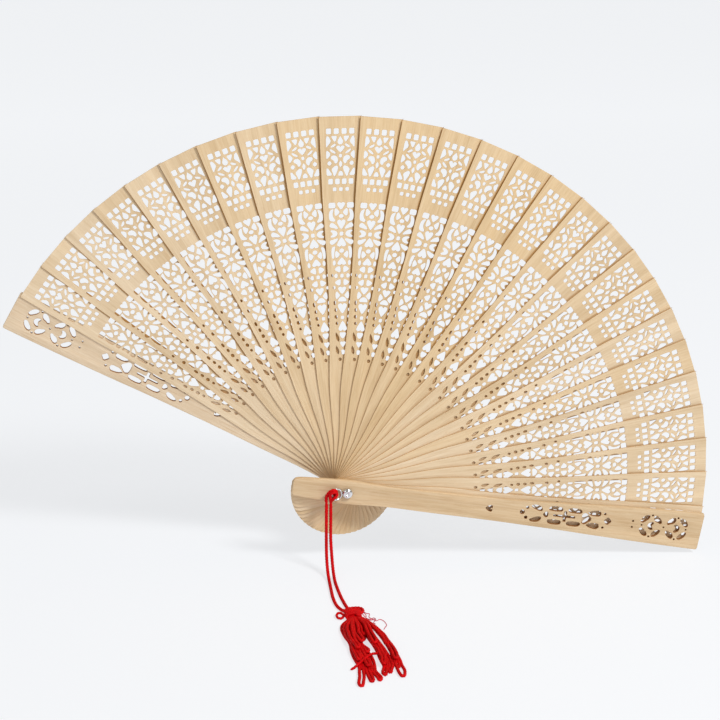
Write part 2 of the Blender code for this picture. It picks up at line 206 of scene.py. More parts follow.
def stick_pattern():
    h = []
    # upper border and filigree
    for t in (1.80, 5.32):
        h += both(box(170.6, t, 2.15, 2.45))
    h += both(round_off([(168.3, 6.5), (168.3, 5.5), (167.2, 4.9), (166.2, 4.45), (165.3, 4.75), (164.4, 5.6), (163.5, 6.2), (163.4, 6.5)]))
    h += both(round_off([(168.4, 1.6), (168.4, 4.1), (167.5, 3.75), (166.0, 2.75), (165.9, 2.35), (167.0, 1.85)], 0.18))
    h.append(drop(168.3, 164.6, 2.45, widest=0.64))
    h += both(round_off([(163.5, 4.6), (164.4, 3.5), (165.0, 2.3), (164.3, 2.15), (163.6, 2.9), (163.2, 3.9)]))
    h.append(heart(161.0, 163.95, 3.7, notch=0.72))
    h += both(round_off([(162.6, 4.7), (161.7, 3.2), (160.6, 2.1), (160.4, 2.6), (160.9, 3.7), (161.9, 4.8)]))
    h += both(round_off([(161.8, 6.5), (161.6, 5.8), (160.5, 4.75), (159.6, 4.75), (158.4, 5.8), (158.0, 6.5)]))
    h.append(box(159.4, 0.0, 1.15, 1.45))
    h += both(round_off([(158.3, 4.5), (159.4, 4.0), (159.6, 2.7), (159.0, 1.7), (157.9, 1.25), (156.7, 1.3), (155.9, 2.0), (156.0, 2.6), (157.0, 2.85), (157.6, 3.6)]))
    h += both(round_off([(157.2, 5.1), (156.0, 6.2), (154.8, 5.2), (155.9, 4.0)], 0.22))
    h.append(leaf((157.1, 0.0), (154.1, 0.0), 1.35))
    h += both(round_off([(153.2, 4.2), (154.3, 3.2), (155.0, 1.9), (154.3, 1.15), (152.9, 1.4), (151.3, 2.1), (150.1, 2.6), (150.2, 3.2), (151.6, 3.5)]))
    h += both(round_off([(153.7, 6.5), (153.6, 5.8), (152.3, 5.0), (151.0, 4.1), (150.4, 4.4), (150.4, 6.4)], 0.18))
    h.append(dome(150.3, 152.4, 2.15))
    # two rows of little windows
    for t in (1.57, 4.72):
        h += both(box(147.6, t, 1.95, 2.45))
    h.append(box(144.0, 0.0, 1.5, 1.65))
    h += both(box(144.0, 2.9, 1.5, 1.65))
    # lower panel
    h += both(box(136.5, 4.25, 3.0, 2.5, 0.4))
    h.append(heart(134.5, 137.9, 3.5))
    h += both(round_off([(135.3, 2.6), (134.6, 1.8), (133.6, 0.9), (133.0, 0.9), (132.2, 1.6), (131.5, 2.5), (132.4, 3.0), (134.2, 3.05)]))
    h.append(oval(131.5, 0.0, 2.15, 1.8))
    h += both(round_off([(135.0, 3.6), (134.2, 5.1), (132.8, 5.65), (130.5, 5.65), (129.3, 5.1), (128.9, 3.1), (129.5, 2.75), (130.7, 3.7), (132.2, 4.15), (133.8, 3.8)]))
    h.append(heart(125.3, 129.8, 3.8))
    h.append(box(123.2, 0.0, 1.55, 1.75))
    petal = round_off([(128.5, 4.6), (127.9, 3.4), (126.9, 2.3), (125.7, 1.55), (125.4, 2.0), (126.0, 3.8), (126.3, 5.3), (127.4, 5.5)])
    h += both(petal)
    h += both(flip(petal, 123.2))
    h += both(round_off([(124.9, 4.8), (124.8, 3.5), (124.2, 2.3), (123.2, 1.85), (122.2, 2.3), (121.6, 3.5), (121.5, 4.8), (122.0, 5.1), (122.7, 4.2), (123.2, 4.0), (123.7, 4.2), (124.4, 5.1)], 0.2))
    h.append(heart(121.5, 117.1, 4.1))
    h.append(oval(115.15, 0.0, 2.15, 2.0))
    h += both(round_off([(115.2, 2.6), (114.6, 1.9), (113.6, 1.0), (113.0, 1.0), (112.1, 1.8), (111.6, 2.6), (112.9, 3.05), (114.3, 3.05)]))
    h += both(round_off([(117.3, 3.0), (117.0, 4.3), (115.6, 4.75), (113.0, 4.7), (111.5, 4.4), (111.5, 3.55), (113.6, 3.55), (115.4, 3.35)]))
    h.append(heart(111.9, 108.4, 4.0))
    h += both(oval(109.4, 3.55, 1.25, 2.5))
    h.append(box(103.2, 0.0, 1.35, 1.75))
    petal = round_off([(107.8, 1.1), (107.7, 2.0), (106.7, 3.2), (106.1, 3.25), (105.2, 2.0), (104.8, 1.0), (105.3, 0.7), (107.1, 0.7)])
    h += both(petal)
    h += both(flip(petal, 103.2))
    h += both(round_off([(104.2, 2.3), (104.2, 3.1), (103.2, 3.75), (102.2, 3.1), (102.2, 2.3), (103.2, 2.1)], 0.2))
    h += both(oval(103.5, 4.6, 0.85, 1.4, 8))
    h += both(oval(97.6, 3.75, 1.3, 1.6, 8))
    h.append(heart(94.4, 97.9, 3.7))
    h += both(round_off([(95.8, 2.6), (95.0, 1.9), (94.1, 1.15), (93.5, 1.15), (92.5, 2.0), (92.0, 2.7), (93.0, 3.1), (94.9, 3.1)]))
    h.append(dome(90.8, 93.1, 3.9))
    h += both(oval(90.3, 3.6, 1.05, 2.1, 8))
    h.append(heart(84.9, 89.9, 4.1))
    h += both(oval(86.8, 3.2, 1.15, 1.7, 8))
    h += both(oval(83.5, 3.05, 1.45, 1.7, 8))
    h += both(oval(80.3, 2.75, 1.1, 1.3, 8))
    h.append(box(83.0, 0.0, 1.4, 1.65))
    h.append(heart(81.4, 76.5, 3.8))
    h.append(dome(75.7, 72.9, 2.8))
    h += both(leaf((75.9, 3.3), (71.3, 1.9), 1.35, 0.6))
    h.append(heart(68.5, 71.3, 2.5))
    h += both(leaf((69.3, 3.2), (65.2, 2.2), 1.35, 0.6))
    h.append(oval(66.1, 0.0, 1.9, 2.4))
    h += both(oval(62.6, 1.45, 1.35, 1.65, 8))
    return h


def guard_pattern():
    h = []
    # group near the tip, laid out about r = 158.6
    mid = 158.6
    crescent = round_off([(153.7, 5.4), (154.9, 5.0), (156.4, 3.7), (157.1, 2.1), (156.5, 1.7), (155.6, 2.3), (154.2, 2.6), (153.4, 3.5), (153.1, 4.7)])
    comma = round_off([(146.6, 1.9), (147.6, 1.5), (148.9, 2.5), (150.4, 3.9), (150.6, 5.2), (149.3, 5.3), (147.9, 4.4), (147.0, 3.1)])
    inner = round_off([(150.5, 0.0), (151.0, 1.3), (152.5, 2.0), (153.2, 1.6), (152.5, 0.8), (152.2, 0.0), (152.5, -0.8), (153.2, -1.6), (152.5, -2.0), (151.0, -1.3)])
    for shape in (crescent, comma):
        shape = swell(shape, 0.28)
        h += both(shape)
        h += both(flip(shape, mid))
    inner = swell(inner, 0.22)
    h += [inner, flip(inner, mid)]
    for r, t in ((147.3, 0.0), (158.6, 0.0), (170.1, 0.0)):
        h.append(oval(r, t, 0.9, 0.9, 8))
    for r, t in ((142.6, 1.6), (152.0, 5.6), (165.2, 5.6)):
        h += both(oval(r, t, 1.0, 1.0, 8))
    # group at the middle of the blade
    m = [oval(86.5, 0.0, 2.2, 2.2, 12)]
    m += both(oval(88.7, 2.6, 1.5, 1.4, 8))
    m += both(round_off([(90.4, 3.6), (92.0, 2.5), (95.6, 1.3), (96.5, 2.4), (95.0, 4.1), (92.0, 4.5)]))
    m.append(round_off([(96.9, 0.0), (98.4, 1.5), (99.4, 1.1), (99.4, -1.1), (98.4, -1.5)], 0.2))
    slot = round_off([(99.4, 3.2), (100.2, 2.3), (105.6, 2.3), (106.6, 3.2), (105.8, 4.6), (100.6, 4.6)])
    m += both(slot)
    m += both(flip(slot, 107.9))
    m += both(round_off([(119.2, 3.2), (121.4, 1.9), (125.4, 2.0), (125.9, 3.7), (124.6, 4.9), (121.2, 4.3)], 0.18))
    m.append(round_off([(121.9, 0.0), (118.4, 3.0), (116.7, 2.2), (116.7, -2.2), (118.4, -3.0)], 0.18))
    m.append(round_off([(131.8, 0.0), (129.8, 2.0), (127.9, 0.0), (129.8, -2.0)], 0.15))
    h += [swell(p, 0.12) for p in m]
    h += both(oval(127.9, 3.6, 1.2, 1.2, 8))
    h.append(round_off([(102.2, 0.55), (107.3, 0.6), (107.3, 2.7), (108.7, 2.7), (108.7, 0.6), (113.2, 0.55),
                        (113.2, -0.55), (108.7, -0.6), (108.7, -2.7), (107.3, -2.7), (107.3, -0.6), (102.2, -0.55)], 0.12))
    # a little ginkgo leaf on its own
    h.append(swell(round_off([(68.2, 0.0), (69.6, 1.1), (71.0, 1.5), (71.3, 0.5), (70.6, 0.0), (71.3, -0.5), (71.0, -1.5), (69.6, -1.1)], 0.2), 0.3))
    return h


def outline(above, below=None):
    """The blade's closed outline; the long sides are smooth, and the ends keep their corners."""
    one = [tuple(p) for p in catmull(above, 3)]
    other = [tuple(p) for p in catmull(below or above, 3)]
    return one + [(r, -w) for r, w in reversed(other)]


def swell(pts, d):
    """The shape grown by d all round."""
    s = 1 if area(pts) > 0 else -1
    out = []
    for i, p in enumerate(pts):
        a, b = pts[i - 1], pts[(i + 1) % len(pts)]
        u, v = b[0] - a[0], b[1] - a[1]
        m = math.hypot(u, v) or 1.0
        out.append((p[0] + s * d * v / m, p[1] - s * d * u / m))
    return out


def area(pts):
    return 0.5 * sum(p[0] * q[1] - q[0] * p[1] for p, q in zip(pts, pts[1:] + pts[:1]))


def plate(name, shape, holes, thick, chamfer, steps):
    """A flat blade along +X, from y = 0 (front) to y = thick, cut through by the holes."""
    cu = bpy.data.curves.new(name, "CURVE")
    cu.dimensions = "2D"
    cu.fill_mode = "BOTH"
    cu.extrude = (thick / 2 - chamfer) * MM
    cu.bevel_depth = chamfer * MM
    cu.bevel_resolution = steps
    cu.offset = -chamfer * MM
    for i, pts in enumerate([shape] + holes):
        if (area(pts) > 0) != (i == 0):
            pts = list(reversed(pts))
        sp = cu.splines.new("POLY")
        sp.points.add(len(pts) - 1)
        for q, (r, t) in zip(sp.points, pts):
            q.co = (r * MM, t * MM, 0.0, 1.0)
        sp.use_cyclic_u = True
    ob = bpy.data.objects.new(name, cu)
    scene.collection.objects.link(ob)
    bpy.context.view_layer.update()
    dg = bpy.context.evaluated_depsgraph_get()
    me = bpy.data.meshes.new_from_object(ob.evaluated_get(dg))
    bpy.data.objects.remove(ob)
    bpy.data.curves.remove(cu)
    me.name = name
    me.transform(Matrix.Translation((0, thick / 2 * MM, 0)) @ Matrix.Rotation(math.radians(90), 4, "X"))
    bm = bmesh.new()
    bm.from_mesh(me)
    bmesh.ops.remove_doubles(bm, verts=bm.verts, dist=2e-7)
    bmesh.ops.dissolve_degenerate(bm, edges=bm.edges, dist=1e-7)
    bm.to_mesh(me)
    bm.free()
    return me


# ------------------------------------------------------------------ materials
def material(name):
    m = bpy.data.materials.new(name)
    m.use_nodes = True
    nt = m.node_tree
    nt.nodes.clear()
    out = nt.nodes.new("ShaderNodeOutputMaterial")
    bsdf = nt.nodes.new("ShaderNodeBsdfPrincipled")
    nt.links.new(bsdf.outputs[0], out.inputs[0])
    return m, nt, bsdf


def node(nt, kind, **values):
    n = nt.nodes.new(kind)
    for key, v in values.items():
        if key.startswith("in_"):
            n.inputs[key[3:].replace("_", " ")].default_value = v
        else:
            setattr(n, key, v)
    return n


def ramp(nt, source, stops):
    r = nt.nodes.new("ShaderNodeValToRGB")
    while len(r.color_ramp.elements) > 1:
        r.color_ramp.elements.remove(r.color_ramp.elements[-1])
    for i, (pos, col) in enumerate(stops):
        e = r.color_ramp.elements[0] if i == 0 else r.color_ramp.elements.new(pos)
        e.position = pos
        e.color = (*col, 1.0) if len(col) == 3 else col
    nt.links.new(source, r.inputs[0])
    return r


def stretched_noise(nt, coord, scale, detail, rough, seed, warp=0.0):
    mp = node(nt, "ShaderNodeMapping")
    mp.inputs["Scale"].default_value = scale
    nt.links.new(coord, mp.inputs["Vector"])
    n = node(nt, "ShaderNodeTexNoise", noise_dimensions="4D")
    n.inputs["Scale"].default_value = 1.0
    n.inputs["Detail"].default_value = detail
    n.inputs["Roughness"].default_value = rough
    n.inputs["Distortion"].default_value = warp
    nt.links.new(mp.outputs[0], n.inputs["Vector"])
    nt.links.new(seed, n.inputs["W"])
    return n


def mix(nt, fac, a, b, mode="MIX"):
    m = nt.nodes.new("ShaderNodeMix")
    m.data_type = "RGBA"
    m.blend_type = mode
    for sock, v in ((m.inputs[0], fac), (m.inputs[6], a), (m.inputs[7], b)):
        if isinstance(v, (int, float)):
            sock.default_value = v
        elif isinstance(v, tuple):
            sock.default_value = (*v, 1.0)
        else:
            nt.links.new(v, sock)
    return m.outputs[2]


def maths(nt, op, a, b=None, clamp=False):
    m = nt.nodes.new("ShaderNodeMath")
    m.operation = op
    m.use_clamp = clamp
    for sock, v in zip(m.inputs, (a, b)):
        if v is None:
            continue
        if isinstance(v, (int, float)):
            sock.default_value = v
        else:
            nt.links.new(v, sock)
    return m.outputs[0]


def painted_edge_shadow(nt, coord):
    """Painted shadow: 1 in a narrow strip where the next stick's long edge lies on this one, standing in for the shadow
    that edge casts, and 0 elsewhere.
    """
    split = node(nt, "ShaderNodeSeparateXYZ")
    nt.links.new(coord, split.inputs[0])
    r, t = split.outputs["X"], split.outputs["Z"]
    half = ramp(nt, maths(nt, "MULTIPLY", r, 5.0), [(p[0] / 200.0, (p[1] / 20.0,) * 3) for p in STICK_PROFILE
                                                  if p[0] > 20 and p[0] not in (176.3, 177.0)])
    pitch = node(nt, "ShaderNodeAttribute", attribute_name="pitch", attribute_type="GEOMETRY").outputs["Fac"]
    edge = maths(nt, "SUBTRACT", maths(nt, "MULTIPLY", half.outputs["Color"], 0.020), maths(nt, "MULTIPLY", r, pitch))
    past = maths(nt, "SUBTRACT", t, edge)
    line = node(nt, "ShaderNodeMapRange", interpolation_type="SMOOTHSTEP")
    for socket, v in zip(("From Min", "From Max", "To Min", "To Max"), (0.00025, 0.00105, 1.0, 0.0)):
        line.inputs[socket].default_value = v
    nt.links.new(past, line.inputs["Value"])
    out = node(nt, "ShaderNodeMapRange", interpolation_type="SMOOTHSTEP")
    for socket, v in zip(("From Min", "From Max", "To Min", "To Max"), (0.045, 0.085, 0.0, 1.0)):
        out.inputs[socket].default_value = v
    nt.links.new(r, out.inputs["Value"])
    shadow_paint = node(nt, "ShaderNodeAttribute", attribute_name="shadow_paint", attribute_type="GEOMETRY").outputs["Fac"]
    return maths(nt, "MULTIPLY", maths(nt, "MULTIPLY", line.outputs["Result"], shadow_paint), out.outputs["Result"])


def wood(name, light, mid, dark, cut=False, grain=1.0, with_edge_shadow=False):
    """Pale, close-grained wood, its grain along the blade (local X)."""
    m, nt, bsdf = material(name)
    coord = node(nt, "ShaderNodeTexCoord").outputs["Object"]
    tint = node(nt, "ShaderNodeAttribute", attribute_name="tint", attribute_type="GEOMETRY").outputs["Fac"]
    seed = maths(nt, "MULTIPLY", tint, 37.0)
    fine = stretched_noise(nt, coord, (70, 900, 1500), 4.0, 0.62, seed, 0.25)
    broad = stretched_noise(nt, coord, (14, 90, 150), 3.0, 0.5, maths(nt, "ADD", seed, 5.0), 0.4)
    pores = stretched_noise(nt, coord, (260, 1500, 4200), 2.0, 0.5, maths(nt, "ADD", seed, 11.0))
    body = ramp(nt, fine.outputs["Fac"], ((0.30, dark), (0.52, mid), (0.74, light)))
    clouds = ramp(nt, broad.outputs["Fac"], ((0.32, (0.86, 0.83, 0.78)), (0.55, (1.0, 1.0, 1.0)), (0.75, (1.06, 1.05, 1.03))))
    col = mix(nt, 1.0, body.outputs["Color"], clouds.outputs["Color"], "MULTIPLY")
    each = ramp(nt, tint, ((0.0, (0.93, 0.87, 0.74)), (0.35, (0.97, 0.94, 0.87)), (1.0, (1.03, 1.08, 1.18))))
    col = mix(nt, 1.0, col, each.outputs["Color"], "MULTIPLY")
    fleck = ramp(nt, pores.outputs["Fac"], ((0.28, (0.80, 0.74, 0.66)), (0.36, (1, 1, 1))))
    col = mix(nt, 0.55 * grain, col, fleck.outputs["Color"], "MULTIPLY")
    # painted shadow: a dark brown line on the front face beside the next stick's edge
    if with_edge_shadow:
        col = mix(nt, painted_edge_shadow(nt, coord), col, (0.42, 0.195, 0.03))
    nt.links.new(col, bsdf.inputs["Base Color"])
    rough = ramp(nt, fine.outputs["Fac"], ((0.3, (0.66, 0.66, 0.66)), (0.7, (0.50, 0.50, 0.50))))
    nt.links.new(rough.outputs["Color"], bsdf.inputs["Roughness"])
    bsdf.inputs["Specular IOR Level"].default_value = 0.35
    bump = node(nt, "ShaderNodeBump")
    bump.inputs["Strength"].default_value = 0.35 * grain
    bump.inputs["Distance"].default_value = 0.00006
    nt.links.new(fine.outputs["Fac"], bump.inputs["Height"])
    nt.links.new(bump.outputs[0], bsdf.inputs["Normal"])
    return m


STICK_WOOD = wood("stick_wood", (0.79, 0.635, 0.44), (0.74, 0.575, 0.38), (0.67, 0.495, 0.305))
FRONT_WOOD_PAINTED_SHADOW = wood("stick_front_wood_painted_shadow", (0.79, 0.635, 0.44), (0.74, 0.575, 0.38), (0.67, 0.495, 0.305), with_edge_shadow=True)
# darker, more saturated wood on the cut walls: partly the cut edge's own darker tone, partly painted shade for the
# insides of the holes
EDGE_WOOD_AND_SHADE = wood("stick_edge_wood_and_shade", (0.66, 0.36, 0.105), (0.56, 0.28, 0.07), (0.44, 0.20, 0.045))
GUARD_WOOD = wood("guard_wood", (0.74, 0.585, 0.40), (0.69, 0.52, 0.335), (0.61, 0.43, 0.255), grain=1.2)
# painted shade: dark brown on the walls of the guard's holes
GUARD_HOLE_SHADE = wood("guard_hole_painted_shade", (0.46, 0.24, 0.10), (0.38, 0.18, 0.065), (0.28, 0.12, 0.04))


def metal(name, base, rough):
    m, nt, bsdf = material(name)
    coord = node(nt, "ShaderNodeTexCoord").outputs["Object"]
    n = node(nt, "ShaderNodeTexNoise")
    n.inputs["Scale"].default_value = 900.0
    n.inputs["Detail"].default_value = 5.0
    nt.links.new(coord, n.inputs["Vector"])
    c = ramp(nt, n.outputs["Fac"], ((0.35, tuple(b * 0.86 for b in base)), (0.65, base)))
    r = ramp(nt, n.outputs["Fac"], ((0.3, (rough * 1.6,) * 3), (0.7, (rough * 0.8,) * 3)))
    nt.links.new(c.outputs["Color"], bsdf.inputs["Base Color"])
    nt.links.new(r.outputs["Color"], bsdf.inputs["Roughness"])
    bsdf.inputs["Metallic"].default_value = 1.0
    bump = node(nt, "ShaderNodeBump")
    bump.inputs["Strength"].default_value = 0.12
    bump.inputs["Distance"].default_value = 0.00003
    nt.links.new(n.outputs["Fac"], bump.inputs["Height"])
    nt.links.new(bump.outputs[0], bsdf.inputs["Normal"])
    return m


PLATED = metal("rivet_metal", (0.80, 0.81, 0.84), 0.16)


def fibre(name, light, dark, scale=(2600.0, 2600.0, 2600.0), rough=0.62):
    m, nt, bsdf = material(name)
    coord = node(nt, "ShaderNodeTexCoord").outputs["Object"]
    mp = node(nt, "ShaderNodeMapping")
    mp.inputs["Scale"].default_value = scale
    nt.links.new(coord, mp.inputs["Vector"])
    n = node(nt, "ShaderNodeTexNoise")
    n.inputs["Scale"].default_value = 1.0
    n.inputs["Detail"].default_value = 3.0
    n.inputs["Distortion"].default_value = 0.8
    nt.links.new(mp.outputs[0], n.inputs["Vector"])
    big = node(nt, "ShaderNodeTexNoise")
    big.inputs["Scale"].default_value = 260.0
    nt.links.new(coord, big.inputs["Vector"])
    c = ramp(nt, n.outputs["Fac"], ((0.32, dark), (0.62, light)))
    shade = ramp(nt, big.outputs["Fac"], ((0.3, (0.82, 0.82, 0.82)), (0.7, (1.08, 1.08, 1.08))))
    col = mix(nt, 1.0, c.outputs["Color"], shade.outputs["Color"], "MULTIPLY")
    nt.links.new(col, bsdf.inputs["Base Color"])
    r = ramp(nt, n.outputs["Fac"], ((0.3, (rough * 1.2,) * 3), (0.7, (rough * 0.85,) * 3)))
    nt.links.new(r.outputs["Color"], bsdf.inputs["Roughness"])
    bsdf.inputs["Specular IOR Level"].default_value = 0.12
    bump = node(nt, "ShaderNodeBump")
    bump.inputs["Strength"].default_value = 0.5
    bump.inputs["Distance"].default_value = 0.00008
    nt.links.new(n.outputs["Fac"], bump.inputs["Height"])
    nt.links.new(bump.outputs[0], bsdf.inputs["Normal"])
    return m


RED = fibre("red_cord", (0.74, 0.001, 0.004), (0.43, 0.0, 0.001))
PINK = fibre("loose_fibre", (0.72, 0.12, 0.16), (0.55, 0.06, 0.10))


def ribbon_cloth():
    m, nt, bsdf = material("ribbon_cloth")
    coord = node(nt, "ShaderNodeTexCoord").outputs["Object"]
    n = node(nt, "ShaderNodeTexVoronoi")
    n.inputs["Scale"].default_value = 2600.0
    nt.links.new(coord, n.inputs["Vector"])
    c = ramp(nt, n.outputs["Distance"], ((0.1, (0.80, 0.72, 0.58)), (0.6, (0.62, 0.52, 0.38))))
    nt.links.new(c.outputs["Color"], bsdf.inputs["Base Color"])
    r = ramp(nt, n.outputs["Distance"], ((0.1, (0.70,) * 3), (0.6, (0.88,) * 3)))
    nt.links.new(r.outputs["Color"], bsdf.inputs["Roughness"])
    bsdf.inputs["Sheen Weight"].default_value = 0.2
    bump = node(nt, "ShaderNodeBump", invert=True)
    bump.inputs["Strength"].default_value = 0.5
    bump.inputs["Distance"].default_value = 0.00006
    nt.links.new(n.outputs["Distance"], bump.inputs["Height"])
    nt.links.new(bump.outputs[0], bsdf.inputs["Normal"])
    return m


CLOTH = ribbon_cloth()


# ------------------------------------------------------------------ helpers for meshes
def add_object(name, me, mats, body, replaces=()):
    ob = bpy.data.objects.new(name, me)
    scene.collection.objects.link(ob)
    for m in mats:
        me.materials.append(m)
    if body:
        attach(ob, body)
    if replaces:
        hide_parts(*replaces)
    return ob


def soften(me, degrees=35.0):
    me.shade_smooth()
    me.set_sharp_from_angle(angle=math.radians(degrees))


def bm_mesh(name, bm, degrees=35.0):
    bmesh.ops.recalc_face_normals(bm, faces=bm.faces)
    me = bpy.data.meshes.new(name)
    bm.to_mesh(me)
    bm.free()
    soften(me, degrees)
    return me


def rope_into(bm, path, radius, pitch=4.2, plies=3, depth=0.13, step=0.55, sides=15, lead=0.0, squash=1.0):
    """Adds a twisted cord along path (mm) to bm. Its plies show as lobes that wind round it."""
    pts = [Vector(p) for p in path]
    lengths = [0.0]
    for a, b in zip(pts, pts[1:]):
        lengths.append(lengths[-1] + (b - a).length)
    total = lengths[-1]
    count = max(6, int(round(total / step)))
    line, j = [], 0
    for i in range(count + 1):
        s = total * i / count
        while j < len(pts) - 2 and lengths[j + 1] < s:
            j += 1
        span = lengths[j + 1] - lengths[j]
        line.append(pts[j].lerp(pts[j + 1], 0.0 if span < 1e-9 else (s - lengths[j]) / span))
    tangents = [(line[min(i + 1, count)] - line[max(i - 1, 0)]).normalized() for i in range(count + 1)]
    normal = tangents[0].orthogonal().normalized()
    rings = []
    for i, (p, t) in enumerate(zip(line, tangents)):
        if i:
            normal = (normal - t * normal.dot(t)).normalized()
        other = t.cross(normal)
        turn = 2 * math.pi * (total * i / count) / pitch + lead
        end = min(i, count - i)
        shrink = (0.55, 0.86, 0.97)[end] if end < 3 else 1.0
        ring = []
        for k in range(sides):
            a = 2 * math.pi * k / sides
            r = radius * shrink * (1 - depth + depth * math.cos(plies * (a - turn / 1.0)))
            ring.append(bm.verts.new((p + (normal * math.cos(a) + other * math.sin(a)) * r) * MM))
        rings.append(ring)
    for a, b in zip(rings, rings[1:]):
        for k in range(sides):
            bm.faces.new((a[k], a[(k + 1) % sides], b[(k + 1) % sides], b[k]))
    for ring, p, t in ((rings[0], line[0], -tangents[0]), (rings[-1], line[-1], tangents[-1])):
        tip = bm.verts.new((p + t * radius * 0.30) * MM)
        for k in range(sides):
            bm.faces.new((ring[k], ring[(k + 1) % sides], tip))
    return line


def spline(points, per=6):
    return catmull(points, per)


# ------------------------------------------------------------------ cords: the two strands from the hitch to the tassel
REST_Z = FLOOR_Z + CORD_R
ROUTES = {
    "cord_left": ((-10.4, -3.1, -3.4), (-10.5, -3.2, -12.0), (-10.6, -3.4, -22.0),
                  (-10.6, -4.4, -30.6), (-10.4, -8.0, -36.7), (-10.2, -15.4, REST_Z),
                  (-10.2, -24.0, REST_Z), (-10.1, -32.0, REST_Z), (-9.3, -39.6, REST_Z),
                  (-7.7, -44.4, REST_Z), (-5.6, -47.6, REST_Z + 0.3)),
    "cord_right": ((-8.3, -3.2, -3.6), (-8.4, -3.3, -12.0), (-8.5, -3.6, -22.0),
                   (-8.1, -4.8, -30.6), (-7.8, -8.6, -36.7), (-7.5, -16.0, REST_Z),
                   (-7.0, -24.0, REST_Z), (-6.3, -32.0, REST_Z), (-5.3, -39.4, REST_Z),
                   (-4.4, -45.0, REST_Z + 0.3)),
}
strands = {}
for cord_name, route in ROUTES.items():
    path = [Vector((p.x, p.y, max(p.z, REST_Z))) for p in spline(route, 6)]
    bm = bmesh.new()
    line = rope_into(bm, path, 0.86, lead=0.0 if cord_name == "cord_left" else 1.1)
    me = bm_mesh(cord_name + "_twist", bm, 80)
    ob = add_object(cord_name + "_twist", me, [RED], "link_body", [cord_name])
    strands[cord_name] = (ob, path, sum((b - a).length for a, b in zip(path, path[1:])))


# ------------------------------------------------------------------ blades
random.seed(7)
# each blade's tint: paler and cooler towards both ends of the fan, warmer in the middle, with a random share
tints = [min(1.0, max(0.0, 0.35 * random.random() + 0.65 * abs(k - 13) / 13)) for k in range(N_STICKS)]
HOLES = stick_pattern()
RIVET_HOLE = oval(0.0, 0.0, 2 * HOLE_R, 2 * HOLE_R, 20)


LEAN = 0.036


def lean(k):
    """How far stick k leans about its long axis, the left edge towards the front."""
    return LEAN * min(1.0, 0.1 + 0.12 * min(k - 1, N_STICKS - k))


def lift(k, r, t):
    """Y offset of the leaning stick's surface at r, t (mm)."""
    u = min(1.0, max(0.0, (r - 15.0) / 55.0))
    return -lean(k) * t * u * u * (3 - 2 * u)


def dress(me, tint, chamfer):
    """Smooth shading with crisp edges, the tint of this blade, and darker wood on the sawn edges, which is partly the
    cut edge's own tone and partly painted shade in the holes.
    """
    soften(me, 32.0)
    a = me.attributes.new("tint", "FLOAT", "POINT")
    a.data.foreach_set("value", [tint] * len(me.vertices))
    for p in me.polygons:
        wall = abs(p.normal.y) < 0.30
        if wall and chamfer > 0.1:                          # a guard's long sides stay plain; the walls of its holes get painted shade
            wall = 60.0 < p.center.x / MM < 174.0 and abs(p.center.z) / MM < 0.04 * p.center.x / MM + 1.3
        p.material_index = 1 if wall else 2 if p.normal.y < 0 else 0


def blade(name, me, angle, front, body, nodes, mats):
    ob = bpy.data.objects.new(name, me)
    scene.collection.objects.link(ob)
    for m in mats:
        me.materials.append(m)
    ob.matrix_world = Matrix.Translation((0, front * MM, 0)) @ Matrix.Rotation(math.radians(-angle), 4, "Y")
    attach(ob, body)
    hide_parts(*nodes)
    return ob


master = plate("stick_plate", outline(STICK_PROFILE), [swell(h, 0.10) for h in HOLES] + [RIVET_HOLE], STICK_T, 0.05, 0)
for k in range(1, N_STICKS + 1):
    me = master.copy()
    me.name = f"stick_{k:02d}_cut"
    for v in me.vertices:
        v.co.y += lift(k, v.co.x / MM, v.co.z / MM) * MM
    dress(me, tints[k - 1], 0.05)
    step = math.sin(math.radians(stick_angle(k) - stick_angle(k + 1))) if k < N_STICKS else 0.2
    # strength of the painted shadow line on each stick: strong on the left and top sticks, weaker towards the right,
    # none on the last
    shadow_paint = 0.0 if k == N_STICKS else 0.88 if k < 15 else max(0.35, 0.88 - 0.08 * (k - 14))
    for key, value in (("pitch", step), ("shadow_paint", shadow_paint)):
        me.attributes.new(key, "FLOAT", "POINT").data.foreach_set("value", [value] * len(me.vertices))
    blade(me.name, me, stick_angle(k), stick_front(k), f"stick_{k:02d}",
          [f"stick_{k:02d}"], [STICK_WOOD, EDGE_WOOD_AND_SHADE, FRONT_WOOD_PAINTED_SHADOW])
bpy.data.meshes.remove(master)

for name, angle, front, body, node_name, tint in (
        ("front_guard_cut", FRONT_DEG, 0.0, "front_body", "front_guard", 0.45),
        ("rear_guard_cut", REAR_DEG, REAR_FRONT, "rear_body", "rear_guard", 1.0)):
    shape = outline(GUARD_UPPER, GUARD_LOWER) if body == "front_body" else outline(GUARD_LOWER, GUARD_UPPER)
    me = plate(name, shape, guard_pattern() + [RIVET_HOLE], GUARD_T, 0.25, 2)
    dress(me, tint, 0.28)
    blade(name, me, angle, front, body, [node_name], [GUARD_WOOD, GUARD_HOLE_SHADE, GUARD_WOOD])


# ------------------------------------------------------------------ rivet
LINK_Y, LINK_T = -0.60, 0.60
HEAD_Y = LINK_Y - LINK_T / 2 - 0.20
RIVET_HEAD_R, RIVET_HEAD_H = 2.30, 1.25
WASHER_Y = STACK + 0.15
WASHER_T = 0.40
CAP_Y = WASHER_Y + WASHER_T + 0.15


